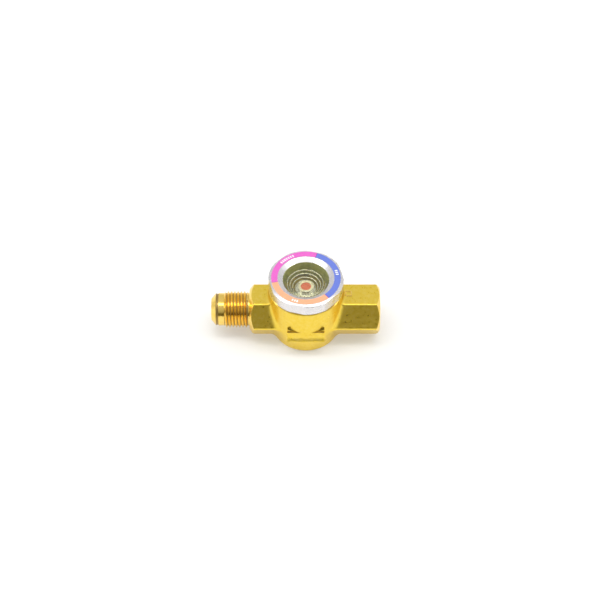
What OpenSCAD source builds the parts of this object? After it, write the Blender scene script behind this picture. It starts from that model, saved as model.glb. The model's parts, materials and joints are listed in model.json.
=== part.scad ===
// In-line liquid sight glass with a moisture indicator, male flare to female flare.
// Millimetres. +X runs along the flow axis, from the male end to the female end.
// +Z is the sight axis. The origin is the centre of the round foot's resting face.

/* [Hexagon bars] */
// Height of the flow axis above the resting face
axis_h = 11.7; // [11.4:0.1:13]
// Across the flats of both hexagon bars
bar_af = 20; // [19:0.1:21]
// From the sight axis to the end face of the male side's bar
bar_left = 24.3; // [22:0.1:28]
// From the sight axis to the end face of the female side's bar
bar_right = 31.9; // [30:0.1:36]
// Radius of the round end face on the male side's bar
bar_face_left = 8.9; // [8.6:0.1:9.8]
// Radius of the round end face on the female side's bar
bar_face_right = 9.5; // [9:0.1:9.8]
// Angle of the end chamfers that round the hexagon's corners
bar_chamfer_angle = 38; // [25:1:45]

/* [Flow passage] */
// Radius of the passage through both ends
flow_r = 3.95; // [3:0.05:4.2]

/* [Male flare end] */
// Major radius of the 5/8-18 thread
thread_r = 7.94; // [7.5:0.01:8.2]
// Length of the full thread
thread_len = 10.4; // [9:0.1:12]
// Length of the plain lead between the thread and the groove
lead_len = 2.5; // [2:0.1:4]
// Length of the plain collar between the thread and the hexagon
collar_len = 0.6; // [0.4:0.1:3]
// Radius of the plain lead and of the collar, just under the thread's root
lead_r = 7.1; // [6.9:0.05:7.2]
// Width of the turned groove behind the sealing cone
groove_w = 1.1; // [0.3:0.1:1.2]
// Depth of that groove
groove_d = 0.35; // [0.1:0.05:0.4]
// Radius of the nose's flat end face
nose_r = 5.1; // [4.6:0.1:5.5]
// Angle of the sealing cone from the flow axis
flare_angle = 45; // [40:1:45]

/* [Female flare end] */
// Radius of the tapped hole, at the thread's crests
tap_r = 7.25; // [7.15:0.05:7.35]
// Length of the tapped hole behind its mouth chamfer
tap_len = 11; // [9:0.5:12]
// Radius of the undercut behind the thread
undercut_r = 8; // [7.7:0.1:8.3]
// Length of the undercut
undercut_len = 1.8; // [1:0.1:2]
// Radius at the small end of the sealing seat
seat_r = 4.6; // [4.4:0.1:5]
// Wall of the copper bonnet that lies on the seat
bonnet_wall = 0.8; // [0.5:0.1:1]

/* [Cup] */
// Radius of the resting face
foot_r = 14.4; // [13.5:0.1:15]
// Radius of the cup at its widest
part_r = 16.3; // [16:0.1:17]
// How far the cup's widest level lies below the flow axis
part_drop = 0.6; // [0.3:0.1:2]
// Radius of the cup's rim
rim_r = 15.9; // [15.5:0.1:16]
// Height of the rim above the flow axis
rim_z = 14.9; // [14:0.1:16]
// Radius of the bowl under the thread
bowl_r = 10.6; // [10:0.1:11]
// Depth of the bowl's floor below the flow axis
bowl_depth = 4.6; // [4.3:0.1:5]
// Radius of the post that carries the indicator
post_r = 4.3; // [4:0.1:4.6]
// Height of the post's top above the flow axis
post_z = 12.2; // [11.6:0.1:12.4]

/* [Cast flow mark] */
// Length of the raised bar on the front of the cup
mark_len = 16; // [12:0.5:18]
// Height of the bar's lower edge above the resting face
mark_z = 9.8; // [8:0.1:11]
// Height of the bar's upright front
mark_front_h = 0.4; // [0.2:0.1:1]
// Height of the bar
mark_bar_h = 1.8; // [1.2:0.1:2.2]
// Height of the bar and the flat plate above it
mark_h = 5.5; // [4:0.1:6]
// How far the plate lies behind the bar's front
mark_lean = 0.8; // [0.4:0.1:1.2]
// Distance of the bar's upright front from the sight axis
mark_y = 16.9; // [16.6:0.1:17.5]
// Height of each barb over the plate
barb_h = 1.3; // [1:0.1:3]
// Length of each barb
barb_len = 3.3; // [2:0.1:5]
// Distance of the barbs' front from the sight axis
barb_y = 15.5; // [15.2:0.1:16]

/* [Window ring] */
// Across the flats of the ring
ring_af = 31; // [30:0.5:33]
// Radius to which the ring's corners are turned down
ring_turned_r = 16.1; // [16:0.1:17]
// Direction that one flat of the tightened ring faces, from +X
ring_angle = 15; // [0:1:59]
// Thickness of the ring's flange
ring_h = 5.5; // [4:0.1:6]
// Radius where the flange's top chamfer starts
ring_top_r = 15; // [14.9:0.1:15.4]
// Major radius of the neck's M24 x 1 thread
neck_r = 12; // [11.8:0.05:12.1]
// Length of the neck
neck_len = 6.4; // [6:0.1:7]
// Radius of the bore that holds the glass
window_r = 9.8; // [9:0.1:10]
// Radius of the sloping bezel's outer edge
bezel_r = 11.8; // [11.2:0.1:11.9]
// Drop of the bezel from its outer edge to the glass
bezel_drop = 1.2; // [0.5:0.1:1.5]
// Running clearance of the neck in the cup
neck_gap = 0.05; // [0.03:0.01:0.08]

/* [Glass, label and gasket] */
// Thickness of the glass
glass_t = 3.5; // [3:0.1:4]
// Inner radius of the reference label
label_in = 12.1; // [12:0.1:12.5]
// Outer radius of the reference label
label_out = 14.8; // [14:0.1:15]
// Thickness of the reference label
label_t = 0.1; // [0.05:0.05:0.2]
// Thickness of the gasket under the flange
gasket_t = 0.5; // [0.4:0.1:1]
// Outer radius of the gasket
gasket_out = 15.2; // [14.5:0.1:15.5]

/* [Indicator] */
// Outer radius of the indicator's cup
holder_r = 3.5; // [3.3:0.1:3.6]
// Wall of the indicator's cup
holder_wall = 0.25; // [0.2:0.05:0.3]
// Thickness of the felt pad
pad_t = 0.9; // [0.6:0.1:1]
// Thickness of the indicator paper
paper_t = 0.25; // [0.2:0.05:0.3]
// Thickness of the retainer that frames the paper
retainer_t = 0.4; // [0.3:0.05:0.45]
// Radius of the retainer's opening
retainer_in = 2.2; // [1.8:0.1:2.4]
// Number of tabs crimped over the retainer
tabs = 3; // [2:1:4]
// Width of each crimped tab
tab_w = 1; // [0.6:0.1:1.4]

/* [Conical spring] */
// Diameter of the wire
wire_d = 0.5; // [0.4:0.05:0.6]
// Radius of the spring's wide end, under the glass
spring_wide_r = 8.6; // [8:0.1:9]
// Radius of the spring's narrow end, on the cup's brim
spring_narrow_r = 4; // [3.95:0.05:4.1]
// Turns of the spring, of which the first and last half lie flat
spring_turns = 4; // [3:0.5:5]

/* [Hidden] */

$fn = 96;
through = 1;

// Male end, as distances from the sight axis
collar_x = bar_left + collar_len;
thread_x = collar_x + thread_len;
lead_x = thread_x + lead_len;
cone_x = lead_x + groove_w;
nose_x = cone_x + (lead_r - nose_r) / tan(flare_angle);
thread_bevel = 0.5;

// Female end, as distances from the sight axis
mouth_r = thread_r + 0.3;
mouth_x = bar_right - (mouth_r - tap_r);
tap_x = mouth_x - tap_len;
undercut_x = tap_x - undercut_len;
seat_big_r = lead_r + bonnet_wall * 0.2;
seat_x = undercut_x - (seat_big_r - seat_r) / tan(flare_angle);
bonnet_lip = 0.8;

// Hexagon bars
bar_corner = bar_af / sqrt(3);

// Cup and bowl, as heights above the resting face
foot_edge = 0.6;
rim_top = axis_h + rim_z;
bowl_floor = axis_h - bowl_depth;
post_top = axis_h + post_z;
neck_top = rim_top + gasket_t;
neck_bottom = neck_top - neck_len;
tapped_r = neck_r + neck_gap;
tapped_floor = neck_bottom - 0.3;

// Cast flow mark
barb_inset = 0.1;

// Window ring
ring_top = neck_top + ring_h;
ring_bevel = 0.3;
ring_chamfer_h = (ring_turned_r - ring_top_r) * tan(30);
glass_top = ring_top - bezel_drop;
glass_bottom = glass_top - glass_t;
neck_bevel = 0.4;
gasket_in = neck_r + 0.15;

// Indicator, stacked on the post
cup_floor = post_top + holder_wall;
paper_bottom = cup_floor + pad_t;
retainer_bottom = paper_bottom + paper_t;
tab_bottom = retainer_bottom + retainer_t;
brim_r = holder_r + 0.8;
inner_r = holder_r - holder_wall;

// Conical spring: its radius grows steadily, and its height between the two flat ends
spring_low = post_top + holder_wall + wire_d / 2 + 0.02;
spring_high = glass_bottom - wire_d / 2 - 0.06;
turn_steps = 24;
wire_sides = 8;
spring_steps = spring_turns * turn_steps;
flat_steps = turn_steps / 2;

// A hexagon prism along +X with flats facing up and down, from x = 0 to x = len
module hex_prism(af, len) {
  rotate([0, 90, 0])
    rotate([0, 0, 30])
      cylinder(r = af / sqrt(3), h = len, $fn = 6);
}

// A turned shape: the outline lists [distance along +X, radius]
module turned_x(outline) {
  rotate([0, 90, 0])
    rotate_extrude()
      polygon([for (p = outline) [p[1], p[0]]]);
}

// One hexagon bar from the sight axis out to len, turned down to face_r at its end
module hex_bar(len, face_r) {
  outside = bar_corner + through;
  chamfer = (outside - face_r) * tan(bar_chamfer_angle);
  intersection() {
    hex_prism(bar_af, len);
    turned_x([
      [-through, 0],
      [-through, outside],
      [len - chamfer, outside],
      [len, face_r],
      [len, 0]
    ]);
  }
}

// The male end outside the hexagon, with the thread as a plain cylinder
module male_end() {
  mirror([1, 0, 0])
    turned_x([
      [0, 0],
      [0, lead_r],
      [collar_x, lead_r],
      [collar_x, thread_r - thread_bevel],
      [collar_x + thread_bevel, thread_r],
      [thread_x - thread_bevel, thread_r],
      [thread_x, thread_r - thread_bevel],
      [thread_x, lead_r],
      [lead_x, lead_r],
      [lead_x, lead_r - groove_d],
      [cone_x, lead_r - groove_d],
      [cone_x, lead_r],
      [nose_x, nose_r],
      [nose_x, 0]
    ]);
}

// Everything that is bored from the female end
module female_port() {
  turned_x([
    [bowl_r - through, 0],
    [bowl_r - through, flow_r],
    [seat_x - (seat_r - flow_r), flow_r],
    [seat_x, seat_r],
    [undercut_x, seat_big_r],
    [undercut_x, undercut_r],
    [tap_x, undercut_r],
    [tap_x, tap_r],
    [mouth_x, tap_r],
    [bar_right, mouth_r],
    [bar_right + through, mouth_r],
    [bar_right + through, 0]
  ]);
}

// The drafted outside of the cup, from the foot to the rim
module cup_outside() {
  rotate_extrude()
    polygon([
      [0, 0],
      [foot_r - foot_edge, 0],
      [foot_r, foot_edge],
      [part_r, axis_h - part_drop],
      [rim_r, rim_top],
      [0, rim_top]
    ]);
}

// The space in the cup: tapped mouth, bowl, and the post left standing in it
module cup_inside() {
  rotate_extrude()
    polygon([
      [post_r, bowl_floor],
      [bowl_r, bowl_floor],
      [bowl_r, tapped_floor],
      [tapped_r, tapped_floor],
      [tapped_r, rim_top + through],
      [0, rim_top + through],
      [0, post_top],
      [post_r, post_top]
    ]);
}

// A raised bar with a sloping face under a flat plate, cast on the front of the cup
module mark_plate() {
  rotate([90, 0, 90])
    linear_extrude(mark_len, center = true)
      polygon([
        [0, mark_z],
        [-mark_y, mark_z],
        [-mark_y, mark_z + mark_front_h],
        [mark_lean - mark_y, mark_z + mark_bar_h],
        [mark_lean - mark_y, mark_z + mark_h],
        [0, mark_z + mark_h]
      ]);
}

// The raised barb over the plate's left end
module mark_barb() {
  end = barb_inset - mark_len / 2;
  translate([0, 0, mark_z + mark_h])
    rotate([90, 0, 0])
      linear_extrude(barb_y)
        polygon([
          [end, -through],
          [end + barb_len, -through],
          [end + barb_len, 0],
          [end, barb_h]
        ]);
}

// Forged and machined brass body, in one piece
module body() {
  color("goldenrod")
    difference() {
      union() {
        cup_outside();
        mark_plate();
        mark_barb();
        mirror([1, 0, 0])
          mark_barb();
        translate([0, 0, axis_h]) {
          hex_bar(bar_right, bar_face_right);
          mirror([1, 0, 0])
            hex_bar(bar_left, bar_face_left);
          male_end();
        }
      }
      cup_inside();
      translate([0, 0, axis_h])
        female_port();
      translate([-nose_x - through, 0, axis_h])
        rotate([0, 90, 0])
          cylinder(r = flow_r, h = nose_x - bowl_r + 2 * through);
    }
}

// Copper bonnet pressed against the seat of the female end
module flare_gasket() {
  slope = bonnet_wall * sqrt(2);
  lip_x = undercut_x + bonnet_lip;
  color("peru")
    translate([0, 0, axis_h])
      turned_x([
        [seat_x, seat_r],
        [undercut_x, seat_big_r],
        [lip_x, seat_big_r],
        [lip_x, seat_big_r - bonnet_wall],
        [undercut_x + slope - bonnet_wall, seat_big_r - bonnet_wall],
        [seat_x + slope, seat_r]
      ]);
}

// Nickelled steel cup with a brim for the spring and tabs bent over the retainer
module indicator_cup() {
  color("gainsboro") {
    rotate_extrude()
      polygon([
        [0, post_top],
        [brim_r, post_top],
        [brim_r, cup_floor],
        [holder_r, cup_floor],
        [holder_r, tab_bottom],
        [inner_r, tab_bottom],
        [inner_r, cup_floor],
        [0, cup_floor]
      ]);
    intersection() {
      translate([0, 0, tab_bottom])
        difference() {
          cylinder(r = holder_r, h = holder_wall);
          translate([0, 0, -through])
            cylinder(r = holder_r - tab_w, h = holder_wall + 2 * through);
        }
      for (i = [0 : tabs - 1])
        rotate([0, 0, 30 + i * 360 / tabs])
          translate([0, -tab_w / 2, tab_bottom])
            cube([holder_r, tab_w, holder_wall]);
    }
  }
}

// Felt pad that wets the paper from below
module indicator_pad() {
  color("beige")
    translate([0, 0, cup_floor])
      cylinder(r = inner_r, h = pad_t);
}

// Paper disc that changes colour with moisture
module indicator_paper() {
  color("tomato")
    translate([0, 0, paper_bottom])
      cylinder(r = inner_r, h = paper_t);
}

// Ring that frames the paper
module indicator_retainer() {
  color("wheat")
    translate([0, 0, retainer_bottom])
      difference() {
        cylinder(r = inner_r, h = retainer_t);
        translate([0, 0, -through])
          cylinder(r = retainer_in, h = retainer_t + 2 * through);
      }
}

// How far up the cone the wire has climbed after i steps, from 0 to 1
function climb(i) =
  min(1, max(0, (i - flat_steps) / (spring_steps - 2 * flat_steps)));

// Centre of the wire after i steps
function spring_point(i) =
  let (
    a = i * 360 / turn_steps,
    r = spring_narrow_r + (spring_wide_r - spring_narrow_r) * i / spring_steps,
    z = spring_low + (spring_high - spring_low) * climb(i)
  )
  [r * cos(a), r * sin(a), z];

// One corner of the wire's section after i steps
function wire_corner(i, side) =
  let (
    a = i * 360 / turn_steps,
    c = spring_point(i),
    b = side * 360 / wire_sides,
    out = cos(b) * wire_d / 2,
    up = sin(b) * wire_d / 2
  )
  [c[0] + out * cos(a), c[1] + out * sin(a), c[2] + up];

// Conical spring that holds the cup on its post
module indicator_spring() {
  last = spring_steps * wire_sides;
  color("silver")
    polyhedron(
      points = [
        for (i = [0 : spring_steps])
          for (side = [0 : wire_sides - 1])
            wire_corner(i, side)
      ],
      faces = concat(
        [[for (side = [0 : wire_sides - 1]) side]],
        [[for (side = [wire_sides - 1 : -1 : 0]) last + side]],
        [
          for (i = [0 : spring_steps - 1])
            for (side = [0 : wire_sides - 1])
              let (
                a = i * wire_sides + side,
                b = i * wire_sides + (side + 1) % wire_sides
              )
              [a, a + wire_sides, b + wire_sides, b]
        ]
      )
    );
}

// Flat gasket between the cup's rim and the ring's flange
module ring_gasket() {
  color("white")
    rotate_extrude()
      polygon([
        [gasket_in, rim_top],
        [gasket_out, rim_top],
        [gasket_out, neck_top],
        [gasket_in, neck_top]
      ]);
}

// Hexagon ring with a threaded neck, bored for the glass
module window_ring() {
  color("lightgray")
    intersection() {
      rotate_extrude()
        polygon([
          [window_r, neck_bottom],
          [neck_r - neck_bevel, neck_bottom],
          [neck_r, neck_bottom + neck_bevel],
          [neck_r, neck_top],
          [ring_turned_r - ring_bevel, neck_top],
          [ring_turned_r, neck_top + ring_bevel],
          [ring_turned_r, ring_top - ring_chamfer_h],
          [ring_top_r, ring_top],
          [bezel_r, ring_top],
          [window_r, glass_top]
        ]);
      rotate([0, 0, ring_angle - 30])
        cylinder(r = ring_af / sqrt(3), h = ring_top + through, $fn = 6);
    }
}

// Glass fused into the ring's bore
module sight_glass() {
  color("lightcyan", 0.35)
    translate([0, 0, glass_bottom])
      cylinder(r = window_r, h = glass_t);
}

// Printed ring of reference colours on the flange
module reference_label() {
  color("orchid")
    translate([0, 0, ring_top])
      difference() {
        cylinder(r = label_out, h = label_t);
        translate([0, 0, -through])
          cylinder(r = label_in, h = label_t + 2 * through);
      }
}

body();
flare_gasket();
indicator_cup();
indicator_pad();
indicator_paper();
indicator_retainer();
indicator_spring();
ring_gasket();
window_ring();
sight_glass();
reference_label();
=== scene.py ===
"""In-line sight glass with a moisture indicator: the looks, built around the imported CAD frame.

Shapes are worked out in millimetres and written to Blender in metres.
"""
import json
import math

import bmesh
import bpy
import numpy as np
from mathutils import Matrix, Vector


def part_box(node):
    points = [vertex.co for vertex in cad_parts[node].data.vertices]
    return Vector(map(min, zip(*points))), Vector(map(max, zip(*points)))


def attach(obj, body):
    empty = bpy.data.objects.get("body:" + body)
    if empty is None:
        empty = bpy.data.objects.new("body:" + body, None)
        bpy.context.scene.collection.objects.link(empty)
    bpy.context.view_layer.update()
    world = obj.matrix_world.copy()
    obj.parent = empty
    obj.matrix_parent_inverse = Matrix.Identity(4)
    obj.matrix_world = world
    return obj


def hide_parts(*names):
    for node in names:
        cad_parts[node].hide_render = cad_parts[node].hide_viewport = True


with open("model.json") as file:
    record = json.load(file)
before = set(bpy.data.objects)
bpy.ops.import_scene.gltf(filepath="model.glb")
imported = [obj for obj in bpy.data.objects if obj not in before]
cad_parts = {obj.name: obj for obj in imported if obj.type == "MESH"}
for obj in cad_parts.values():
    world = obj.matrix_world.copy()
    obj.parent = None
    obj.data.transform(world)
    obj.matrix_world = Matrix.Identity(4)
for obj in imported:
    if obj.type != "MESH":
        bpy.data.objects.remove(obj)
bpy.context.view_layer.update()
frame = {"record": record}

MM = 0.001
TAU = 2 * math.pi


def box_mm(node):
    """Lowest and highest corner of a CAD node, in millimetres."""
    low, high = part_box(node)
    return low / MM, high / MM


# ---------------------------------------------------------------- sizes, in millimetres

MOUNTS = {mount["name"]: mount for mount in frame["record"]["mounts"]}
MALE = MOUNTS["male_flare_thread"]
FEMALE = MOUNTS["female_flare_thread"]
FLOW_R = MOUNTS["male_flow_bore"]["dims"]["r_mm"]
AXIS_Z = MALE["pos_m"][2] / MM

body_low, body_high = box_mm("body")
ring_low, ring_high = box_mm("window_ring")
glass_low, glass_high = box_mm("sight_glass")
label_low, label_high = box_mm("reference_label")
gasket_low, gasket_high = box_mm("ring_gasket")
cup_low, cup_high = box_mm("indicator_cup")
pad_low, pad_high = box_mm("indicator_pad")
paper_low, paper_high = box_mm("indicator_paper")
retainer_low, retainer_high = box_mm("indicator_retainer")
spring_low, spring_high = box_mm("indicator_spring")
bonnet_high = box_mm("flare_gasket")[1]

# Hexagon bars
BAR_AF = 20.0
BAR_LEFT = 24.3
BAR_RIGHT = body_high.x
FACE_LEFT = 8.9
FACE_RIGHT = 9.5
FACE_ANGLE = math.radians(38)
BAR_EDGE = 0.6

# Male flare end, as distances from the sight axis
THREAD_R = MALE["dims"]["r_mm"]
THREAD_PITCH = 25.4 / 18
THREAD_NEAR = 24.9
THREAD_FAR = 35.3
LEAD_R = 7.1
LEAD_FAR = 37.8
CONE_NEAR = 38.9
NOSE_X = -body_low.x
NOSE_R = 5.1
GROOVE = 0.35

# Female flare end
TAP_R = FEMALE["dims"]["r_mm"]
TAP_LEN = FEMALE["dims"]["length_mm"]
TAP_NEAR = FEMALE["pos_m"][0] / MM - TAP_LEN / 2
TAP_FAR = TAP_NEAR + TAP_LEN
MOUTH_R = TAP_R + BAR_RIGHT - TAP_FAR
UNDERCUT_R = 8.0
UNDERCUT_NEAR = TAP_NEAR - 1.8
SEAT_BIG_R = bonnet_high.y
SEAT_R = 4.6
SEAT_NEAR = UNDERCUT_NEAR - (SEAT_BIG_R - SEAT_R)

# Cup
FOOT_R = 14.4
PART_R = body_high.y
PART_Z = AXIS_Z - 0.6
RIM_R = 15.9
RIM_Z = body_high.z
RIM_CHAMFER = 0.25
CUP_FILLET = 1.8
FOOT_ROUND = 2.0
BOWL_R = 10.6
BOWL_FLOOR = AXIS_Z - 4.6
POST_R = 4.3
POST_TOP = cup_low.z
TAPPED_R = 12.05
TAPPED_FLOOR = ring_low.z - 0.3
NECK_PITCH = 1.0

# Cast flow mark
MARK_HALF = 8.0
MARK_Z = 9.8
MARK_FRONT_H = 0.4
MARK_BAR_H = 1.8
MARK_H = 5.5
MARK_LEAN = 0.8
MARK_Y = -body_low.y
BARB_H = 1.3
BARB_LEN = 3.3
BARB_INSET = 0.1
BARB_Y = 15.5

# How deep the cast marks are rooted in the body, and the rounding of their edges
CAST_ROOT = 5.0
CAST_EDGE = 0.12

# Cast pad on top of the female side's bar
PAD_X = 18.3
PAD_Y = 0.4
PAD_HALF = 1.5
PAD_RISE = 0.3
PAD_FRAME = 0.45

# Window ring
RING_AF = 31.0
RING_TURNED_R = ring_high.x
RING_ANGLE = math.radians(15)
RING_UNDER = gasket_high.z
RING_TOP = ring_high.z
RING_TOP_R = 15.0
NECK_R = 12.0
WINDOW_R = glass_high.x
BEZEL_R = 11.8
BEZEL_Z = glass_high.z

# The forging: stock past its turned faces, grid cell, and how far a face may lie off its skin
SPARE = 1.0
CELL = 0.3
SKIN = 0.06

# How fast a thread grows from its ends: millimetres of radius for each millimetre along
RUN_IN = 1.2

SIDES = 144


# ---------------------------------------------------------------- geometry

def soft_max(a, b, width):
    """The larger of two distances, rounded where they are within width of each other."""
    near = np.maximum(width - np.abs(a - b), 0) / width
    return np.maximum(a, b) + near * near * width / 4


def soft_min(a, b, width):
    """The smaller of two distances, with a fillet where they meet."""
    return -soft_max(-a, -b, width)


def hexagon(across, along, flats, edge):
    """Distance to a hexagon with corners on the 'across' axis and rounded edges."""
    slant = np.abs(across) * math.cos(math.radians(30))
    upper = soft_max(slant + along / 2, slant - along / 2, edge)
    return soft_max(np.abs(along), upper, edge) - flats / 2


def cup_side(radius, z):
    """Distance to the cup's drafted wall, with the ridge that the die's parting leaves."""
    low_slope = (PART_R - FOOT_R) / PART_Z
    high_slope = (RIM_R - PART_R) / (RIM_Z - PART_Z)
    low = (radius - FOOT_R - low_slope * z) * math.cos(math.atan(low_slope))
    high = (radius - PART_R - high_slope * (z - PART_Z)) * math.cos(math.atan(high_slope))
    return soft_max(low, high, 0.4)


def blank(p):
    """Distance to the forging as it leaves the die, with endless bars and no turned faces."""
    x, y, z = p[..., 0], p[..., 1], p[..., 2]
    bars = hexagon(y, z - AXIS_Z, BAR_AF, BAR_EDGE)
    cup = soft_max(cup_side(np.hypot(x, y), z), -z, FOOT_ROUND)
    return soft_min(bars, cup, CUP_FILLET)


def forging(p):
    """Distance to the forging, sawn off just beyond the faces that are turned later."""
    x, z = p[..., 0], p[..., 2]
    sawn = np.maximum(x - BAR_RIGHT - SPARE, -x - BAR_LEFT - SPARE)
    return np.maximum(np.maximum(blank(p), sawn), z - RIM_Z - SPARE)


def slopes(distance, points):
    """Unit normals: the direction in which the distance grows."""
    step = 0.01
    rise = [distance(points + step * e) - distance(points - step * e) for e in np.eye(3)]
    normals = np.stack(rise, 1)
    return normals / np.linalg.norm(normals, axis=1)[:, None]


def contour(distance, low, high, cell):
    """Dual contouring: points and quads of the surface where distance is zero.

    Each cell that the surface crosses gets one point, placed where the planes
    through its crossings meet, so turned edges stay sharp.
    """
    axes = [np.arange(a, b + cell, cell) for a, b in zip(low, high)]
    grid = np.stack(np.meshgrid(*axes, indexing="ij"), -1)
    value = distance(grid)
    origin = np.array([a[0] for a in axes])
    strides = np.array([value.shape[1] * value.shape[2], value.shape[2], 1])
    unit = np.eye(3, dtype=int)
    crossings, owners, quads = [], [], []
    for axis in range(3):
        second, third = unit[(axis + 1) % 3], unit[(axis + 2) % 3]
        near = np.take(value, range(value.shape[axis] - 1), axis)
        far = np.take(value, range(1, value.shape[axis]), axis)
        index = np.argwhere((near < 0) != (far < 0))
        here, there = near[tuple(index.T)], far[tuple(index.T)]
        share = here / (here - there)
        crossings.append(origin + cell * (index + share[:, None] * unit[axis]))
        around = [index, index - second, index - second - third, index - third]
        around = np.stack([a @ strides for a in around], 1)
        owners.append(around)
        quads.append(np.where((here < 0)[:, None], around, around[:, ::-1]))
    points = np.concatenate(crossings)
    owners, quads = np.concatenate(owners), np.concatenate(quads)
    normals = slopes(distance, points)
    cells, owner = np.unique(owners, return_inverse=True)
    owner = owner.reshape(owners.shape)
    total = len(cells)

    def gather(weights):
        return sum(np.bincount(owner[:, k], weights, total) for k in range(4))

    count = gather(np.ones(len(points)))
    middle = np.stack([gather(points[:, k]) for k in range(3)], 1) / count[:, None]
    square = np.empty((total, 3, 3))
    for row in range(3):
        for column in range(3):
            square[:, row, column] = gather(normals[:, row] * normals[:, column])
    reach = (normals * points).sum(1)
    right = np.stack([gather(normals[:, k] * reach) for k in range(3)], 1)
    right -= np.einsum("nij,nj->ni", square, middle)
    damping = 0.03 * np.eye(3)
    offset = np.linalg.solve(square + damping, right[..., None])[..., 0]
    corner = np.stack(np.unravel_index(cells, value.shape), 1) * cell + origin
    placed = np.clip(middle + offset, corner, corner + cell)
    return placed, np.searchsorted(cells, quads).tolist()


def turned(outline, thread=None, closed=False, sides=SIDES):
    """Points and faces of a turned solid. The outline lists (distance along the axis, radius).

    thread = (place, profile, pitch, limit) cuts a right-hand thread between outline points
    place and place + 1. The profile lists (share of a pitch, radius), and limit(along, radius)
    gives the radius that is left near the thread's ends.
    """
    turn = np.arange(sides) * TAU / sides
    points, faces = [], []

    def vertex(along, radius, i):
        points.append((along, radius * math.cos(turn[i]), radius * math.sin(turn[i])))
        return len(points) - 1

    def ring(along, radius):
        if radius == 0:
            return [vertex(along, 0, 0)] * sides
        return [vertex(along, radius, i) for i in range(sides)]

    def skin(row, next_row):
        for i in range(sides):
            j = i + 1
            face = [row[i], row[j % len(row)], next_row[j % len(next_row)], next_row[i]]
            face = [v for k, v in enumerate(face) if v != face[k - 1]]
            if len(set(face)) > 2:
                faces.append(face)

    def cut(k, profile, pitch, limit):
        start, end = outline[k][0], outline[k + 1][0]
        per_turn = len(profile)
        rows = []
        for row in range(int((end - start) / pitch + 4) * per_turn):
            whole, part = divmod(row, per_turn)
            share, radius = profile[part]
            first = start + pitch * (whole + share - 1)
            line = []
            for i in range(sides):
                along = first + pitch * i / sides
                if along <= start:
                    line.append(rings[k][i])
                elif along >= end:
                    line.append(rings[k + 1][i])
                else:
                    line.append(vertex(along, limit(along, radius), i))
            rows.append(line)
        for row in range(len(rows) - per_turn - 1):
            after = row + per_turn
            skin(rows[row] + [rows[after][0]], rows[row + 1] + [rows[after + 1][0]])

    rings = [ring(*point) for point in outline]
    if closed:
        rings.append(rings[0])
    for k in range(len(rings) - 1):
        if thread is not None and thread[0] == k:
            cut(*thread)
        else:
            skin(rings[k], rings[k + 1])
    return np.array(points), faces


def loft(rows, size, wrap=False):
    """Faces between rows of points, each row a closed loop, with flat ends unless it wraps."""
    faces = []
    for row in range(rows if wrap else rows - 1):
        after = (row + 1) % rows
        for k in range(size):
            j = (k + 1) % size
            faces.append([row * size + k, row * size + j, after * size + j, after * size + k])
    if not wrap:
        faces += [list(range(size)), list(range((rows - 1) * size, rows * size))]
    return faces


def along_x(points):
    """Turned points, with their axis along the flow axis."""
    return points + np.array([0, 0, AXIS_Z])


def along_z(points):
    """Turned points, with their axis along the sight axis."""
    return points[:, [1, 2, 0]]


def root_radius(major, pitch):
    """Radius at the root of a 60 degree thread on a shaft, whose depth is 0.6134 of its pitch."""
    return major - 0.6134 * pitch


def outside_thread(major, pitch):
    """A 60 degree thread on a shaft: (share of a pitch, radius)."""
    minor = root_radius(major, pitch)
    return [(0, major - 0.05), (0.03, major), (0.11, major), (0.14, major - 0.05),
            (0.47, minor), (0.67, minor)]


def inside_thread(minor, depth):
    """A 60 degree thread in a bore: (share of a pitch, radius)."""
    return [(0, minor), (0.25, minor), (0.56, minor + depth), (0.69, minor + depth)]


def new_object(name, points, faces, materials=(), sharp=35):
    """A mesh object in the row frame, smooth apart from edges sharper than the given angle."""
    mesh = bpy.data.meshes.new(name)
    mesh.from_pydata((np.asarray(points) * MM).tolist(), [], faces)
    obj = bpy.data.objects.new(name, mesh)
    bpy.context.scene.collection.objects.link(obj)
    tidy = bmesh.new()
    tidy.from_mesh(mesh)
    bmesh.ops.recalc_face_normals(tidy, faces=tidy.faces)
    tidy.to_mesh(mesh)
    tidy.free()
    for material in materials:
        mesh.materials.append(material)
    smooth(obj, sharp)
    return obj


def smooth(obj, sharp=35):
    """Smooth shading with the sharp edges kept."""
    obj.data.shade_smooth()
    obj.data.set_sharp_from_angle(angle=math.radians(sharp))


def lathe(name, lay, outline, materials=(), **settings):
    """A turned piece, its axis laid by along_x or along_z."""
    points, faces = turned(outline, **settings)
    return new_object(name, lay(points), faces, materials)


def combine(target, tool, operation):
    """Joins the tool to the target, cuts it away or keeps what both share, and removes the tool."""
    modifier = target.modifiers.new("shape", "BOOLEAN")
    modifier.solver = "MANIFOLD"
    modifier.operation = operation
    modifier.object = tool
    graph = bpy.context.evaluated_depsgraph_get()
    mesh = bpy.data.meshes.new_from_object(target.evaluated_get(graph))
    if len(mesh.vertices) == len(target.data.vertices):
        raise RuntimeError(f"{operation} of {tool.name} left {target.name} as it was")
    target.modifiers.clear()
    target.data = mesh
    bpy.data.objects.remove(tool)


def face_centres(mesh):
    """The middle of every face, in millimetres."""
    centres = np.empty(len(mesh.polygons) * 3)
    mesh.polygons.foreach_get("center", centres)
    return centres.reshape(-1, 3) / MM


def paint(obj, materials, index=None):
    """Gives the piece its materials and, with an index, each face the one at its index."""
    obj.data.materials.clear()
    for material in materials:
        obj.data.materials.append(material)
    if index is not None:
        obj.data.polygons.foreach_set("material_index", np.asarray(index, np.int32))


def as_piece(obj, body, slot, *nodes):
    """obj rides on the body and stands for the CAD nodes, which it hides; slot is not used."""
    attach(obj, body)
    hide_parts(*nodes)
    return obj


# ---------------------------------------------------------------- materials

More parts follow.
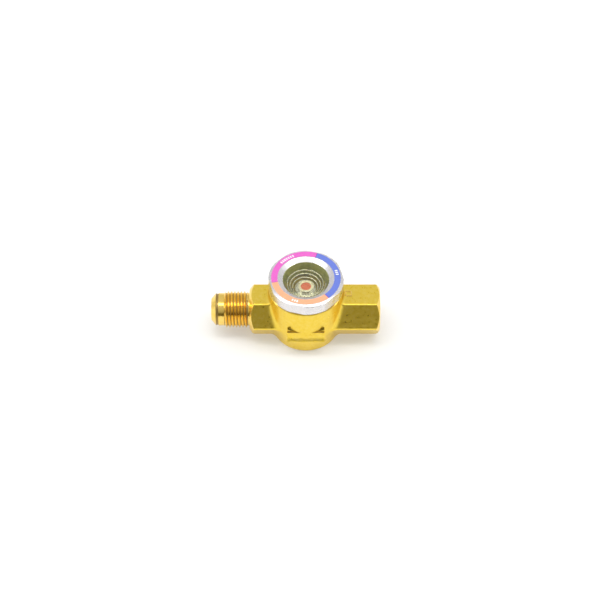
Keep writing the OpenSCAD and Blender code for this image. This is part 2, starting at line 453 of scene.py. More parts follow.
def new_material(name, color, **settings):
    """A Principled material, its nodes, its links and its shader."""
    material = bpy.data.materials.new(name)
    material.use_nodes = True
    nodes, links = material.node_tree.nodes, material.node_tree.links
    shader = nodes["Principled BSDF"]
    shader.inputs["Base Color"].default_value = (*color, 1)
    for key, value in settings.items():
        shader.inputs[key.replace("_", " ")].default_value = value
    return material, nodes, links, shader


def noise(nodes, links, scale, detail=3.0, roughness=0.5, stretch=(1, 1, 1)):
    """A noise texture in the object's own coordinates, scale in features per metre."""
    place = nodes.new("ShaderNodeTexCoord")
    mapping = nodes.new("ShaderNodeMapping")
    mapping.inputs["Scale"].default_value = stretch
    texture = nodes.new("ShaderNodeTexNoise")
    texture.inputs["Scale"].default_value = scale
    texture.inputs["Detail"].default_value = detail
    texture.inputs["Roughness"].default_value = roughness
    links.new(place.outputs["Object"], mapping.inputs["Vector"])
    links.new(mapping.outputs["Vector"], texture.inputs["Vector"])
    return texture.outputs["Fac"]


def ramp(nodes, links, factor, stops):
    """A colour ramp over the factor: stops are (position, colour)."""
    node = nodes.new("ShaderNodeValToRGB")
    while len(node.color_ramp.elements) < len(stops):
        node.color_ramp.elements.new(0.5)
    for element, (position, color) in zip(node.color_ramp.elements, stops):
        element.position = position
        element.color = (*color, 1)
    links.new(factor, node.inputs["Fac"])
    return node.outputs["Color"]


def spread(nodes, links, factor, low, high):
    """Maps a factor from the middle of its range to low..high."""
    node = nodes.new("ShaderNodeMapRange")
    node.inputs["From Min"].default_value = 0.3
    node.inputs["From Max"].default_value = 0.7
    node.inputs["To Min"].default_value = low
    node.inputs["To Max"].default_value = high
    links.new(factor, node.inputs["Value"])
    return node.outputs["Result"]


def bump(nodes, links, shader, heights, depth):
    """Bump from several (height, share) pairs, depth in millimetres."""
    total = None
    for height, share in heights:
        scaled = nodes.new("ShaderNodeMath")
        scaled.operation = "MULTIPLY"
        scaled.inputs[1].default_value = share
        links.new(height, scaled.inputs[0])
        if total is None:
            total = scaled.outputs[0]
            continue
        added = nodes.new("ShaderNodeMath")
        added.operation = "ADD"
        links.new(total, added.inputs[0])
        links.new(scaled.outputs[0], added.inputs[1])
        total = added.outputs[0]
    node = nodes.new("ShaderNodeBump")
    node.inputs["Distance"].default_value = depth * MM
    links.new(total, node.inputs["Height"])
    links.new(node.outputs["Normal"], shader.inputs["Normal"])


def scratches(nodes, links):
    """Sparse fine scratches in two directions: 0 on the skin, 1 in a scratch."""
    both = nodes.new("ShaderNodeMath")
    both.operation = "MAXIMUM"
    for place, turn in enumerate([(0.2, 0.5, 0.7), (0.9, -0.3, -0.6)]):
        coordinates = nodes.new("ShaderNodeTexCoord")
        mapping = nodes.new("ShaderNodeMapping")
        mapping.vector_type = "TEXTURE"
        mapping.inputs["Rotation"].default_value = turn
        mapping.inputs["Scale"].default_value = (22, 1, 3)
        streak = nodes.new("ShaderNodeTexNoise")
        streak.inputs["Scale"].default_value = 5200
        streak.inputs["Detail"].default_value = 0
        keep = nodes.new("ShaderNodeMapRange")
        keep.inputs["From Min"].default_value = 0.73
        keep.inputs["From Max"].default_value = 0.80
        links.new(coordinates.outputs["Object"], mapping.inputs["Vector"])
        links.new(mapping.outputs["Vector"], streak.inputs["Vector"])
        links.new(streak.outputs["Fac"], keep.inputs["Value"])
        links.new(keep.outputs["Result"], both.inputs[place])
    return both.outputs[0]


def forged_brass():
    """Tumbled forging skin: satin, with fine grain, shallow dents, stains and scratches."""
    material, nodes, links, shader = new_material("forged_brass", (0.85, 0.6, 0.14), Metallic=1.0)
    stain = noise(nodes, links, 650, 5, 0.65)
    grain = noise(nodes, links, 3200, 2)
    wave = noise(nodes, links, 420, 2)
    dent = noise(nodes, links, 1300, 1)
    color = ramp(nodes, links, stain, [
        (0.30, (0.85, 0.60, 0.06)),
        (0.50, (0.88, 0.64, 0.085)),
        (0.70, (0.90, 0.68, 0.13)),
    ])
    links.new(color, shader.inputs["Base Color"])
    links.new(spread(nodes, links, stain, 0.26, 0.37), shader.inputs["Roughness"])
    heights = [(grain, 0.3), (wave, 1.0), (dent, 0.4), (scratches(nodes, links), -0.12)]
    bump(nodes, links, shader, heights, 0.06)
    return material


def turned_brass():
    """Brass fresh from the lathe: brighter and redder, with fine tool marks."""
    material, nodes, links, shader = new_material("turned_brass", (0.88, 0.58, 0.17), Metallic=1.0)
    tone = noise(nodes, links, 300, 3)
    marks = noise(nodes, links, 900, 2, 0.5, (9, 1, 1))
    color = ramp(nodes, links, tone, [
        (0.3, (0.93, 0.62, 0.12)),
        (0.7, (0.96, 0.72, 0.21)),
    ])
    links.new(color, shader.inputs["Base Color"])
    links.new(spread(nodes, links, tone, 0.14, 0.24), shader.inputs["Roughness"])
    bump(nodes, links, shader, [(marks, 1.0)], 0.01)
    return material


def nickel():
    """Nickel plate on the ring: bright, with a soft haze."""
    material, nodes, links, shader = new_material("nickel", (0.8, 0.8, 0.82), Metallic=1.0)
    haze = noise(nodes, links, 350, 4)
    grain = noise(nodes, links, 2600, 2)
    color = ramp(nodes, links, haze, [
        (0.3, (0.74, 0.72, 0.74)),
        (0.7, (0.81, 0.79, 0.80)),
    ])
    links.new(color, shader.inputs["Base Color"])
    links.new(spread(nodes, links, haze, 0.22, 0.34), shader.inputs["Roughness"])
    bump(nodes, links, shader, [(grain, 1.0)], 0.008)
    return material


def window_glass():
    """Clear glass that lets the light through to what lies under it."""
    material, nodes, links, shader = new_material(
        "window_glass", (0.95, 0.97, 0.86), Roughness=0.0, IOR=1.5, Transmission_Weight=1.0
    )
    clear = nodes.new("ShaderNodeBsdfTransparent")
    clear.inputs["Color"].default_value = (1, 1, 0.95, 1)
    path = nodes.new("ShaderNodeLightPath")
    mix = nodes.new("ShaderNodeMixShader")
    links.new(path.outputs["Is Shadow Ray"], mix.inputs["Fac"])
    links.new(shader.outputs["BSDF"], mix.inputs[1])
    links.new(clear.outputs["BSDF"], mix.inputs[2])
    links.new(mix.outputs["Shader"], nodes["Material Output"].inputs["Surface"])
    return material


def mottled(name, color, scale, shade, stops, rough, depth, **settings):
    """A material whose tone and roughness follow one fine noise, down to a share of its colour."""
    material, nodes, links, shader = new_material(name, color, **settings)
    tone = noise(nodes, links, scale, 3)
    darker = tuple(shade * c for c in color)
    tinted = ramp(nodes, links, tone, [(stops[0], darker), (stops[1], color)])
    links.new(tinted, shader.inputs["Base Color"])
    links.new(spread(nodes, links, tone, *rough), shader.inputs["Roughness"])
    bump(nodes, links, shader, [(tone, 1.0)], depth)
    return material


def printed(name, color):
    """Gloss print on the label, with the faint unevenness of a printed film."""
    look = (1500, 0.93, (0.35, 0.6), (0.32, 0.42), 0.004)
    return mottled(name, color, *look, Specular_IOR_Level=0.4)


def drawn_metal(name, color, rough):
    """Thin bright metal, such as wire or pressed strip."""
    look = (900, 0.85, (0.3, 0.7), (rough, rough + 0.12), 0.01)
    return mottled(name, color, *look, Metallic=1.0)


def moulded(name, color, rough):
    """Matt moulded plastic with a fine texture."""
    look = (1800, 0.92, (0.3, 0.7), (rough, rough + 0.1), 0.01)
    return mottled(name, color, *look)


def fibrous(name, color, scale):
    """Matt fibres: felt or filter paper."""
    material, nodes, links, shader = new_material(name, color, Roughness=0.95)
    fibre = noise(nodes, links, scale, 6, 0.7)
    cloud = noise(nodes, links, scale / 8, 3)
    darker = tuple(0.72 * c for c in color)
    links.new(ramp(nodes, links, cloud, [(0.3, darker), (0.65, color)]), shader.inputs["Base Color"])
    bump(nodes, links, shader, [(fibre, 1.0)], 0.08)
    return material


def paper_floor():
    """A plain pale sweep."""
    glow = {"Emission Color": (1, 1, 0.97, 1), "Emission Strength": 0.3}
    return new_material("floor", (0.68, 0.68, 0.68), Roughness=0.7, **glow)[0]


# ---------------------------------------------------------------- body

FORGED = forged_brass()
TURNED = turned_brass()
# Dark brass painted into the male end's groove, the thread roots and the flow mark's ledge: painted
# shade in these crevices
CREVICE_SHADE = drawn_metal("groove_grime", (0.45, 0.30, 0.10), 0.4)
# Pale brass for the bowl under the glass: partly its machined colour, partly painted light, lighter
# than the turned brass to make up for the light the glass keeps off
DULL = drawn_metal("bowl_brass", (0.98, 0.87, 0.38), 0.5)


def prism(name, outline, place):
    """A prism with rounded edges: place turns an outline point and an end (0 or 1) into a position."""
    points = [place(u, v, end) for end in (0, 1) for u, v in outline]
    obj = new_object(name, points, loft(2, len(outline)))
    soft = bmesh.new()
    soft.from_mesh(obj.data)
    bmesh.ops.bevel(soft, geom=soft.edges[:], offset=CAST_EDGE * MM, segments=3, affect="EDGES")
    soft.to_mesh(obj.data)
    soft.free()
    return obj


def mark_plate():
    """The cast bar with its sloping face, and the flat plate above it."""
    back, plate = CAST_ROOT - PART_R, MARK_LEAN - MARK_Y
    outline = [
        (back, MARK_Z), (-MARK_Y, MARK_Z), (-MARK_Y, MARK_Z + MARK_FRONT_H),
        (plate, MARK_Z + MARK_BAR_H), (plate, MARK_Z + MARK_H), (back, MARK_Z + MARK_H),
    ]
    return prism("mark_plate", outline, lambda y, z, end: ((2 * end - 1) * MARK_HALF, y, z))


def mark_barb(side):
    """The cast barb over one end of the plate."""
    tip = MARK_HALF - BARB_INSET
    base = MARK_Z + MARK_H
    outline = [
        (side * tip, base - 1), (side * (tip - BARB_LEN), base - 1),
        (side * (tip - BARB_LEN), base), (side * tip, base + BARB_H),
    ]
    return prism(f"mark_barb_{side}", outline, lambda x, z, end: (x, CAST_ROOT * end - BARB_Y, z))


def pad_block(name, half, low, high):
    """A square block on the flat on top of the bar, between two heights over that flat."""
    flat = AXIS_Z + BAR_AF / 2
    outline = [(-half, -half), (half, -half), (half, half), (-half, half)]

    def place(x, y, end):
        return PAD_X + x, PAD_Y + y, flat + (high if end else low)

    return prism(name, outline, place)


def face_cutter(name, end, face_r):
    """What the lathe removes at a bar's end (x = end): a flat face inside face_r, a cone outside."""
    side = math.copysign(1, end)
    outside = BAR_AF / math.sqrt(3) + 1
    back = (outside - face_r) * math.tan(FACE_ANGLE)
    return lathe(name, along_x, [
        (end, 0), (end, face_r), (end - side * back, outside),
        (end + side * 2 * SPARE, outside), (end + side * 2 * SPARE, 0),
    ])


def rim_cutter():
    """What the lathe removes above the cup's rim, with a small chamfer outside."""
    return lathe("rim_cutter", along_z, [
        (RIM_Z, 0), (RIM_Z, RIM_R - RIM_CHAMFER), (RIM_Z - RIM_CHAMFER - 1, RIM_R + 1),
        (RIM_Z + 2 * SPARE, RIM_R + 1), (RIM_Z + 2 * SPARE, 0),
    ])


def male_end():
    """The turned male flare, from left to right: nose, cone, groove, lead, thread and neck."""
    root = root_radius(THREAD_R, THREAD_PITCH)

    def limit(along, radius):
        to_end = min(along + THREAD_FAR, -THREAD_NEAR - along)
        return min(radius, root + RUN_IN * to_end)

    outline = [
        (-NOSE_X, 0), (-NOSE_X, NOSE_R - 0.2), (-NOSE_X + 0.2, NOSE_R),
        (-CONE_NEAR - 0.15, LEAD_R - 0.15), (-CONE_NEAR, LEAD_R),
        (-CONE_NEAR + 0.1, LEAD_R - GROOVE), (-LEAD_FAR - 0.1, LEAD_R - GROOVE),
        (-LEAD_FAR, LEAD_R), (-THREAD_FAR, root), (-THREAD_NEAR, root),
        (-BAR_LEFT + 0.5, root), (-BAR_LEFT + 0.5, root - 1), (-BAR_LEFT + 3, root - 1),
        (-BAR_LEFT + 3, 0),
    ]
    thread = (8, outside_thread(THREAD_R, THREAD_PITCH), THREAD_PITCH, limit)
    return lathe("male_end", along_x, outline, thread=thread)


def flow_drill():
    """What the drill removes from the male end to the bowl."""
    return lathe("flow_drill", along_x, [
        (-NOSE_X - 1, 0), (-NOSE_X - 1, FLOW_R + 1.3), (-NOSE_X + 0.3, FLOW_R),
        (1 - BOWL_R, FLOW_R), (1 - BOWL_R, 0),
    ])


def female_tools():
    """What the tools remove from the female end: mouth, thread, undercut, seat and passage."""
    depth = UNDERCUT_R - TAP_R - 0.03
    root = TAP_R + depth
    thread_end = TAP_FAR + 0.7

    def limit(along, radius):
        return max(radius, root - RUN_IN * (along - TAP_NEAR), root - (thread_end - along))

    outline = [
        (BOWL_R - 1, 0), (BOWL_R - 1, FLOW_R), (SEAT_NEAR - SEAT_R + FLOW_R, FLOW_R),
        (SEAT_NEAR, SEAT_R), (UNDERCUT_NEAR, SEAT_BIG_R), (UNDERCUT_NEAR, UNDERCUT_R),
        (TAP_NEAR, UNDERCUT_R), (TAP_NEAR + 0.02, root), (thread_end, root),
        (BAR_RIGHT, MOUTH_R), (BAR_RIGHT + 1, MOUTH_R + 1), (BAR_RIGHT + 1, 0),
    ]
    thread = (7, inside_thread(TAP_R, depth), THREAD_PITCH, limit)
    return lathe("female_tools", along_x, outline, thread=thread)


def bowl_tools():
    """What the tools remove from the top: tapped mouth and bowl, leaving the post."""
    depth = 0.5
    root = TAPPED_R + depth
    thread_start, thread_end = TAPPED_FLOOR + 0.3, RIM_Z - 0.1
    chamfer, fillet = 0.3, 0.8

    def limit(along, radius):
        to_end = min(along - thread_start, thread_end - along)
        return max(radius, root - RUN_IN * to_end)

    outline = [
        (POST_TOP, 0), (POST_TOP, POST_R - chamfer), (POST_TOP - chamfer, POST_R),
        (BOWL_FLOOR + fillet, POST_R), (BOWL_FLOOR, POST_R + fillet),
        (BOWL_FLOOR, BOWL_R - fillet), (BOWL_FLOOR + fillet, BOWL_R), (TAPPED_FLOOR, BOWL_R),
        (TAPPED_FLOOR, root), (thread_start, root), (thread_end, root),
        (RIM_Z + 1, root + 0.2), (RIM_Z + 1, 0),
    ]
    thread = (9, inside_thread(TAPPED_R, depth), NECK_PITCH, limit)
    return lathe("bowl_tools", along_z, outline, thread=thread)


def skin_normals(mesh, on_skin):
    """Shades the forging's skin by its exact shape."""
    corners = len(mesh.loops)
    vertex, face_size = np.empty(corners, np.int32), np.empty(len(mesh.polygons), np.int32)
    place, normal = np.empty(len(mesh.vertices) * 3), np.empty(corners * 3)
    mesh.loops.foreach_get("vertex_index", vertex)
    mesh.polygons.foreach_get("loop_total", face_size)
    mesh.vertices.foreach_get("co", place)
    mesh.corner_normals.foreach_get("vector", normal)
    exact = slopes(blank, place.reshape(-1, 3) / MM)[vertex]
    normal = np.where(np.repeat(on_skin, face_size)[:, None], exact, normal.reshape(-1, 3))
    mesh.normals_split_custom_set(normal.tolist())


def body():
    """The forging, then everything that is machined on it."""
    margin = 2.0
    low = (-BAR_LEFT - margin, -MARK_Y - margin, -margin)
    high = (BAR_RIGHT + margin, PART_R + margin, RIM_Z + margin)
    points, quads = contour(forging, low, high, CELL)
    points[:, 2] = np.maximum(points[:, 2], 0)
    obj = new_object("body_brass", points, quads)
    combine(obj, face_cutter("face_cutter_left", -BAR_LEFT, FACE_LEFT), "DIFFERENCE")
    combine(obj, face_cutter("face_cutter_right", BAR_RIGHT, FACE_RIGHT), "DIFFERENCE")
    combine(obj, rim_cutter(), "DIFFERENCE")
    cast_pad = pad_block("cast_pad", PAD_HALF, -1, PAD_RISE)
    for added in (mark_plate(), mark_barb(-1), mark_barb(1), cast_pad, male_end()):
        combine(obj, added, "UNION")
    combine(obj, pad_block("pad_middle", PAD_HALF - PAD_FRAME, 0.05, 1), "DIFFERENCE")
    combine(obj, flow_drill(), "DIFFERENCE")
    combine(obj, female_tools(), "DIFFERENCE")
    combine(obj, bowl_tools(), "DIFFERENCE")
    # Which faces have which finish, painted shade or painted light, with small margins round the
    # nominal sizes
    centres = face_centres(obj.data)
    x, y, z = centres.T
    radius = np.hypot(y, z - AXIS_Z)
    on_skin = np.abs(blank(centres)) < SKIN
    mark = (np.abs(x) < MARK_HALF + 0.01) & (y < -TAPPED_R - 1)
    in_pad = (np.abs(x - PAD_X) < PAD_HALF) & (np.abs(y - PAD_Y) < PAD_HALF)
    pad = in_pad & (z > AXIS_Z + BAR_AF / 2 + 0.1)
    groove = (x < -LEAD_FAR) & (x > -CONE_NEAR) & (radius < LEAD_R - 0.03) & (radius > FLOW_R + 1)
    root = root_radius(THREAD_R, THREAD_PITCH) + 0.08
    roots = (x < -THREAD_NEAR) & (x > -THREAD_FAR) & (radius < root) & (radius > FLOW_R + 1)
    ledge = mark & (np.abs(z - MARK_Z - MARK_H) < 0.03)
    bowl = (np.hypot(x, y) < BOWL_R + 0.1) & (z > BOWL_FLOOR - 0.1)
    forged, machined, painted_shade, dull = range(4)
    # The groove, the thread roots and the ledge under the mark's plate get painted shade; the bowl
    # gets the pale brass, partly painted light
    where = [groove | roots | ledge, pad, on_skin | mark, bowl]
    finish = np.select(where, [painted_shade, machined, forged, dull], machined)
    paint(obj, [FORGED, TURNED, CREVICE_SHADE, DULL], finish)
    smooth(obj, 30)
    skin_normals(obj.data, on_skin)
    return as_piece(obj, "valve_body", "forged_brass", "body")


body()


# ---------------------------------------------------------------- window

def ring_lathe():
    """The ring as it is turned: threaded neck, flange, bezel and bore."""
    root = root_radius(NECK_R, NECK_PITCH)
    chamfer = (RING_TURNED_R - RING_TOP_R) * math.tan(math.radians(30))

    def limit(along, radius):
        to_end = min(along - ring_low.z, RING_UNDER - 0.2 - along)
        return min(radius, root + RUN_IN * to_end)

    outline = [
        (ring_low.z + 1.2, WINDOW_R), (ring_low.z, WINDOW_R + 0.9), (ring_low.z, root),
        (RING_UNDER - 0.2, root), (RING_UNDER, root), (RING_UNDER, RING_TURNED_R - 0.4),
        (RING_UNDER + 0.12, RING_TURNED_R - 0.12), (RING_UNDER + 0.4, RING_TURNED_R),
        (RING_TOP - chamfer - 0.1, RING_TURNED_R), (RING_TOP - chamfer + 0.05, RING_TURNED_R - 0.08),
        (RING_TOP - 0.06, RING_TOP_R + 0.08), (RING_TOP, RING_TOP_R - 0.1),
        (RING_TOP, BEZEL_R + 0.1), (RING_TOP - 0.07, BEZEL_R - 0.06),
        (BEZEL_Z + 0.07, WINDOW_R + 0.1), (BEZEL_Z - 0.1, WINDOW_R),
    ]
    thread = (2, outside_thread(NECK_R, NECK_PITCH), NECK_PITCH, limit)
    return lathe("window_ring_nickel", along_z, outline, thread=thread, closed=True)


def ring_hexagon():
    """The bar that the ring is turned from."""
    corner = RING_AF / math.sqrt(3)
    points, faces = turned([
        (ring_low.z - 1, 0), (ring_low.z - 1, corner), (RING_TOP + 1, corner), (RING_TOP + 1, 0),
    ], sides=6)
    x, y, z = along_z(points).T
    swing = RING_ANGLE - math.radians(30)
    points = [x * math.cos(swing) - y * math.sin(swing), x * math.sin(swing) + y * math.cos(swing), z]
    return new_object("ring_hexagon", np.stack(points, 1), faces)


def oxidised_steel():
    """Steel darkened by the furnace where the glass is fused to it."""
    material, nodes, links, shader = new_material("oxidised_steel", (0.58, 0.60, 0.20), Metallic=0.6)
    cloud = noise(nodes, links, 500, 4)
    color = ramp(nodes, links, cloud, [(0.3, (0.46, 0.50, 0.13)), (0.7, (0.70, 0.70, 0.26))])
    links.new(color, shader.inputs["Base Color"])
    links.new(spread(nodes, links, cloud, 0.35, 0.5), shader.inputs["Roughness"])
    bump(nodes, links, shader, [(cloud, 1.0)], 0.02)
    return material


OXIDISED = oxidised_steel()


def window_ring():
    """Nickelled hexagon ring with its bezel and threaded neck."""
    obj = ring_lathe()
    combine(obj, ring_hexagon(), "INTERSECT")
    x, y, z = face_centres(obj.data).T
    bore = (np.hypot(x, y) < WINDOW_R + 0.05) & (z < BEZEL_Z)
    paint(obj, [nickel(), OXIDISED], bore)
    smooth(obj, 12)
    return as_piece(obj, "window", "nickel", "window_ring")


def sight_glass():
    """Glass fused to the bore, flat below, with a meniscus that climbs the bore above."""
    rim = WINDOW_R - 0.01
    rise = 0.12
    top = [
        (glass_high.z - rise + rise * (share ** 6), rim * share)
        for share in (1.0, 0.98, 0.95, 0.9, 0.84, 0.76, 0.6, 0.4, 0.2)
    ]
    outline = [(glass_low.z, 0), (glass_low.z, rim)] + top + [(glass_high.z - rise, 0)]
    obj = lathe("sight_glass_disc", along_z, outline)
    x, y, z = face_centres(obj.data).T
    side = (np.hypot(x, y) > rim - 0.03) & (z < glass_high.z)
    paint(obj, [window_glass(), OXIDISED], side)
    return as_piece(obj, "window", "window_glass", "sight_glass")


WHITE_INK = printed("label_white", (0.95, 0.95, 0.95))
INKS = [
    printed("label_blue", (0.15, 0.215, 0.69)),
    printed("label_magenta", (0.80, 0.14, 0.58)),
    printed("label_salmon", (0.98, 0.46, 0.26)),
    printed("label_border", (0.35, 0.07, 0.42)),
]
# Where each colour starts, in degrees anticlockwise from +X, and the middle and number of its ticks
SECTORS = [(-50, 13.5, 3), (70, 128.5, 7), (190, 250.5, 3)]
SECTOR_SPAN = 120
BORDER_SPAN = 0.8
TICK_SPACING = 4.4
TICK_SPAN = 2.6
TICK_R = 13.45
TICK_HALF = 0.62
LABEL_INNER_R = 12.1


def label_ink(angle, radius):
    """Which ink a spot of the label has: a white tick, a border line or the sector's colour."""
    for ink, (start, middle, ticks) in enumerate(SECTORS):
        turn = (angle - start) % 360
        if turn >= SECTOR_SPAN:
            continue
        if turn < BORDER_SPAN:
            return 4
        place = (angle - middle + 180) % 360 - 180
        half = ticks * TICK_SPACING / 2
        in_tick = abs(place) < half and (place + half) % TICK_SPACING < TICK_SPAN
        return 0 if in_tick and abs(radius - TICK_R) < TICK_HALF else 1 + ink
    return 4


def reference_label():
    """Printed ring: three reference colours with plain white ticks."""
    outer = label_high.x
    count, rows = 720, 18
    turn = np.arange(count) * TAU / count
    radii = np.linspace(LABEL_INNER_R, outer, rows + 1)
    outline = [(label_low.z, LABEL_INNER_R), (label_low.z, outer)]
    outline += [(label_high.z, radius) for radius in radii[::-1]]
    points = [
        (radius * math.cos(a), radius * math.sin(a), z) for z, radius in outline for a in turn
    ]
    inks = []
    for ring in range(len(outline)):
        top = 2 <= ring < len(outline) - 1
        middle = (outline[ring][1] + outline[(ring + 1) % len(outline)][1]) / 2
        for i in range(count):
            inks.append(label_ink((i + 0.5) * 360 / count, middle) if top else 0)
    obj = new_object("reference_label_print", points, loft(len(outline), count, wrap=True))
    paint(obj, [WHITE_INK] + INKS, inks)
    return as_piece(obj, "window", "label_print", "reference_label")


window_ring()
sight_glass()
reference_label()


# ---------------------------------------------------------------- gaskets

def rounded_ring(name, inner, outer, low, high, edge, material):
    """A flat ring with rounded edges, about the sight axis."""
    corners = [
        (low + edge, inner + edge, 180), (low + edge, outer - edge, 270),
        (high - edge, outer - edge, 0), (high - edge, inner + edge, 90),
    ]
    outline = []
    for z, radius, start in corners:
        for part in range(4):
            angle = math.radians(start + 30 * part)
            outline.append((z + edge * math.sin(angle), radius + edge * math.cos(angle)))
    return lathe(name, along_z, outline, [material], closed=True)


def ring_gasket():
    """Fluoroplastic gasket, squeezed between rim and flange."""
    plastic = moulded("fluoroplastic", (0.86, 0.86, 0.82), 0.4)
    inner, outer = NECK_R + 0.15, gasket_high.x
    obj = rounded_ring(
        "ring_gasket_seal", inner, outer, gasket_low.z, gasket_high.z, 0.12, plastic
    )
    return as_piece(obj, "seal", "gasket_plastic", "ring_gasket")


def flare_gasket():
    """Copper bonnet on the female seat."""
    wall = 0.8
    slope = wall * math.sqrt(2)
    outline = [
        (SEAT_NEAR, SEAT_R), (UNDERCUT_NEAR, SEAT_BIG_R - 0.02),
        (bonnet_high.x - 0.15, SEAT_BIG_R - 0.02), (bonnet_high.x, SEAT_BIG_R - 0.2),
        (bonnet_high.x, SEAT_BIG_R - wall + 0.15), (bonnet_high.x - 0.15, SEAT_BIG_R - wall),
        (UNDERCUT_NEAR + slope - wall, SEAT_BIG_R - wall), (SEAT_NEAR + slope, SEAT_R),
    ]
    copper = drawn_metal("annealed_copper", (0.80, 0.36, 0.22), 0.3)
    obj = lathe("flare_gasket_copper", along_x, outline, [copper], closed=True)
    return as_piece(obj, "valve_body", "copper", "flare_gasket")


ring_gasket()
flare_gasket()


# ---------------------------------------------------------------- indicator

# The cup's wall, and its tabs: where they stand, their bend, their root below the lip, thickness
# and half width
HOLDER_R = retainer_high.x + 0.25
TAB_ANGLES = (28, 148, 268)
TAB_BEND = 0.6
TAB_ROOT = 0.3
TAB_THICK = 0.22
TAB_HALF = 0.5


def tab(angle):
    """A tab that starts on the cup's wall and bends in over the retainer."""
    root = retainer_high.z - TAB_ROOT
    steps = 8
    points = []
    for step in range(steps + 1):
        bend = step / steps * math.pi / 2
        radius = HOLDER_R - TAB_BEND + TAB_BEND * math.cos(bend)
        height = root + (cup_high.z - root) * math.sin(bend)
        for side, depth in ((-1, 0), (1, 0), (1, TAB_THICK), (-1, TAB_THICK)):
            out = radius - depth * math.cos(bend)
            up = height - depth * math.sin(bend)
            swing = math.radians(angle) + side * TAB_HALF / HOLDER_R
            points.append((out * math.cos(swing), out * math.sin(swing), up))
    return new_object("tab", points, loft(steps + 1, 4))


def indicator_cup():
    """Pressed cup with a brim and three tabs bent over the retainer."""
    inside = retainer_high.x
    brim = cup_high.x
    base, floor, lip = cup_low.z, pad_low.z, retainer_high.z
    obj = lathe("indicator_cup_steel", along_z, [
        (base, 0), (base, brim - 0.05), (base + 0.08, brim), (floor - 0.08, brim),
        (floor, brim - 0.05), (floor, HOLDER_R + 0.08), (floor + 0.08, HOLDER_R),
        (lip - 0.05, HOLDER_R), (lip, HOLDER_R - 0.05), (lip, inside), (floor, inside), (floor, 0),
    ], sides=96)
    for angle in TAB_ANGLES:
        combine(obj, tab(angle), "UNION")
    paint(obj, [drawn_metal("cup_steel", (0.86, 0.83, 0.76), 0.22)])
    smooth(obj)
    return as_piece(obj, "valve_body", "cup_steel", "indicator_cup")


def disc(name, low, high, radius, dome, material):
    """A soft-edged disc, domed upwards by a little."""
    edge = min(0.12, (high - low) / 3)
    outline = [(low, 0), (low, radius - edge), (low + edge, radius), (high - edge, radius)]
    outline += [
        (high - dome * (share ** 2), (radius - edge) * share) for share in (1, 0.8, 0.6, 0.4, 0.2)
    ]
    outline.append((high, 0))
    return lathe(name, along_z, outline, [material], sides=72)


def indicator_stack():
    """Felt pad, moisture paper and the retainer that frames it."""
    inside = retainer_high.x - 0.02
    felt = fibrous("felt", (0.72, 0.66, 0.52), 5000)
    pad = disc("indicator_pad_felt", pad_low.z, pad_high.z - 0.02, inside, 0.02, felt)
    as_piece(pad, "valve_body", "felt", "indicator_pad")
    red = fibrous("moisture_paper", (0.70, 0.15, 0.07), 4000)
    paper = disc("indicator_paper_disc", paper_low.z, paper_high.z, inside, 0.04, red)
    as_piece(paper, "valve_body", "indicator_paper", "indicator_paper")
    plastic = moulded("retainer_plastic", (0.74, 0.66, 0.48), 0.45)
    low, high = retainer_low.z + 0.01, retainer_high.z - 0.01
    retainer = rounded_ring("indicator_retainer_ring", 2.2, inside, low, high, 0.1, plastic)
    as_piece(retainer, "valve_body", "retainer_plastic", "indicator_retainer")


def indicator_spring():
    """Conical wire spring between the cup's brim and the glass."""
    wire_r = 0.25
    turns, per_turn, sides = 4.0, 72, 14
    steps = int(turns * per_turn)
    narrow = HOLDER_R + 0.5
    wide = spring_high.x - wire_r
    bottom, top = spring_low.z + wire_r, spring_high.z - wire_r
    points = []
    for step in range(steps + 1):
        share = step / steps
        climb = min(1, max(0, (share * turns - 0.5) / (turns - 1)))
        angle = share * turns * TAU
        radius = narrow + (wide - narrow) * share
        height = bottom + (top - bottom) * climb
        for side in range(sides):
            swing = side * TAU / sides
            out = radius + wire_r * math.cos(swing)
            up = height + wire_r * math.sin(swing)
            points.append((out * math.cos(angle), out * math.sin(angle), up))
    steel = drawn_metal("spring_steel", (0.80, 0.76, 0.62), 0.2)
    obj = new_object("indicator_spring_wire", points, loft(steps + 1, sides), [steel])
    return as_piece(obj, "valve_body", "spring_steel", "indicator_spring")


indicator_cup()
indicator_stack()
indicator_spring()


# ---------------------------------------------------------------- stage, light and camera

def floor():
    """A pale floor under the foot."""
    half = 1500
    points = [(-half, -half, 0), (half, -half, 0), (half, half, 0), (-half, half, 0)]
    obj = new_object("floor", points, [[0, 1, 2, 3]], [paper_floor()])


def softbox(name, place, target, size, power):
    """A rectangular area light, in millimetres. The room's bright band stands for its reflection."""
    data = bpy.data.lights.new(name, "AREA")
    data.shape = "RECTANGLE"
    data.size, data.size_y = size[0] * MM, size[1] * MM
    data.energy = power
    obj = bpy.data.objects.new(name, data)
    obj.location = Vector(place) * MM
    aim = (Vector(target) - Vector(place)).normalized()
    obj.rotation_euler = aim.to_track_quat("-Z", "Y").to_euler()
    obj.visible_glossy = False
    bpy.context.scene.collection.objects.link(obj)


# The room as the metal mirrors it: degrees from the front horizon over the top, and brightness
ROOM = [(0, 0.11), (18, 0.14), (30, 0.44), (45, 0.60), (62, 0.62), (78, 0.62), (81, 4.0), (91, 4.0),
        (96, 0.84), (130, 0.77), (175, 0.76), (200, 0.7), (340, 0.1)]
HORIZON = 20
HORIZON_TINT = (1.0, 0.88, 0.35)


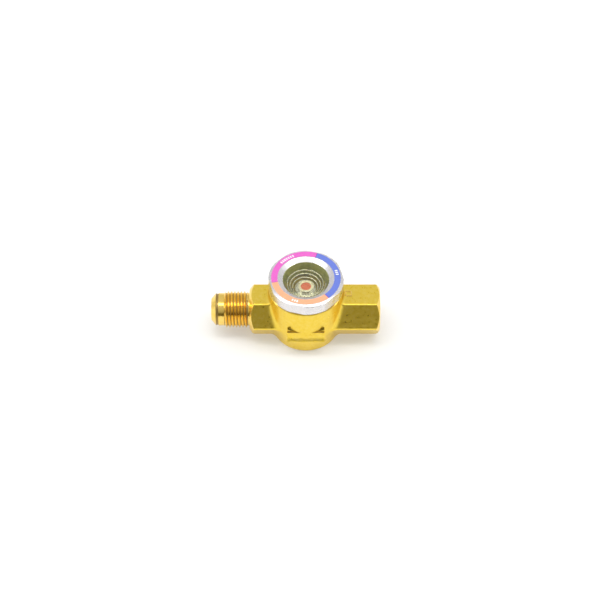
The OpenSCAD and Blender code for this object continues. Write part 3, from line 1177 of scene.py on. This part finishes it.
def room():
    """A pale room with a dark strip along the front horizon."""
    world = bpy.data.worlds.new("room")
    world.use_nodes = True
    nodes, links = world.node_tree.nodes, world.node_tree.links
    place = nodes.new("ShaderNodeTexCoord")
    parts = nodes.new("ShaderNodeSeparateXYZ")
    below = nodes.new("ShaderNodeMath")
    below.operation = "MULTIPLY"
    below.inputs[1].default_value = -1
    angle = nodes.new("ShaderNodeCombineXYZ")
    around = nodes.new("ShaderNodeTexGradient")
    around.gradient_type = "RADIAL"
    links.new(place.outputs["Generated"], parts.inputs["Vector"])
    links.new(parts.outputs["Z"], below.inputs[0])
    links.new(parts.outputs["Y"], angle.inputs["X"])
    links.new(below.outputs[0], angle.inputs["Y"])
    links.new(angle.outputs["Vector"], around.inputs["Vector"])
    stops = []
    for degrees, light in ROOM:
        tint = HORIZON_TINT if degrees < HORIZON else (1, 1, 1)
        stops.append((degrees / 360, tuple(light * share for share in tint)))
    color = ramp(nodes, links, around.outputs["Fac"], stops)
    links.new(color, nodes["Background"].inputs["Color"])
    bpy.context.scene.world = world


def studio():
    """A soft box overhead for the highlights and the shadow under the part."""
    room()
    middle = (0, 0, AXIS_Z)
    softbox("top_box", (-60, -60, 800), middle, (560, 300), 0.95)


def camera():
    """The camera, looking along +Y and down on the window."""
    elevation = math.radians(50.06)
    distance = 700.0
    # The picture's middle as seen from the sight axis: along the flow axis and up the picture
    aside, above = -2.53, 3.99
    back = Vector((0, -math.cos(elevation), math.sin(elevation)))
    up = Vector((0, math.sin(elevation), math.cos(elevation)))
    aim = Vector((aside, 0, AXIS_Z)) + up * above
    data = bpy.data.cameras.new("camera")
    data.lens = 96.6
    data.sensor_width = 36
    data.clip_start, data.clip_end = 0.01, 10
    obj = bpy.data.objects.new("camera", data)
    obj.location = (aim + back * distance) * MM
    obj.rotation_euler = (-back).to_track_quat("-Z", "Y").to_euler()
    bpy.context.scene.collection.objects.link(obj)
    bpy.context.scene.camera = obj


floor()
studio()
camera()
bpy.context.scene.view_settings.view_transform = "Standard"
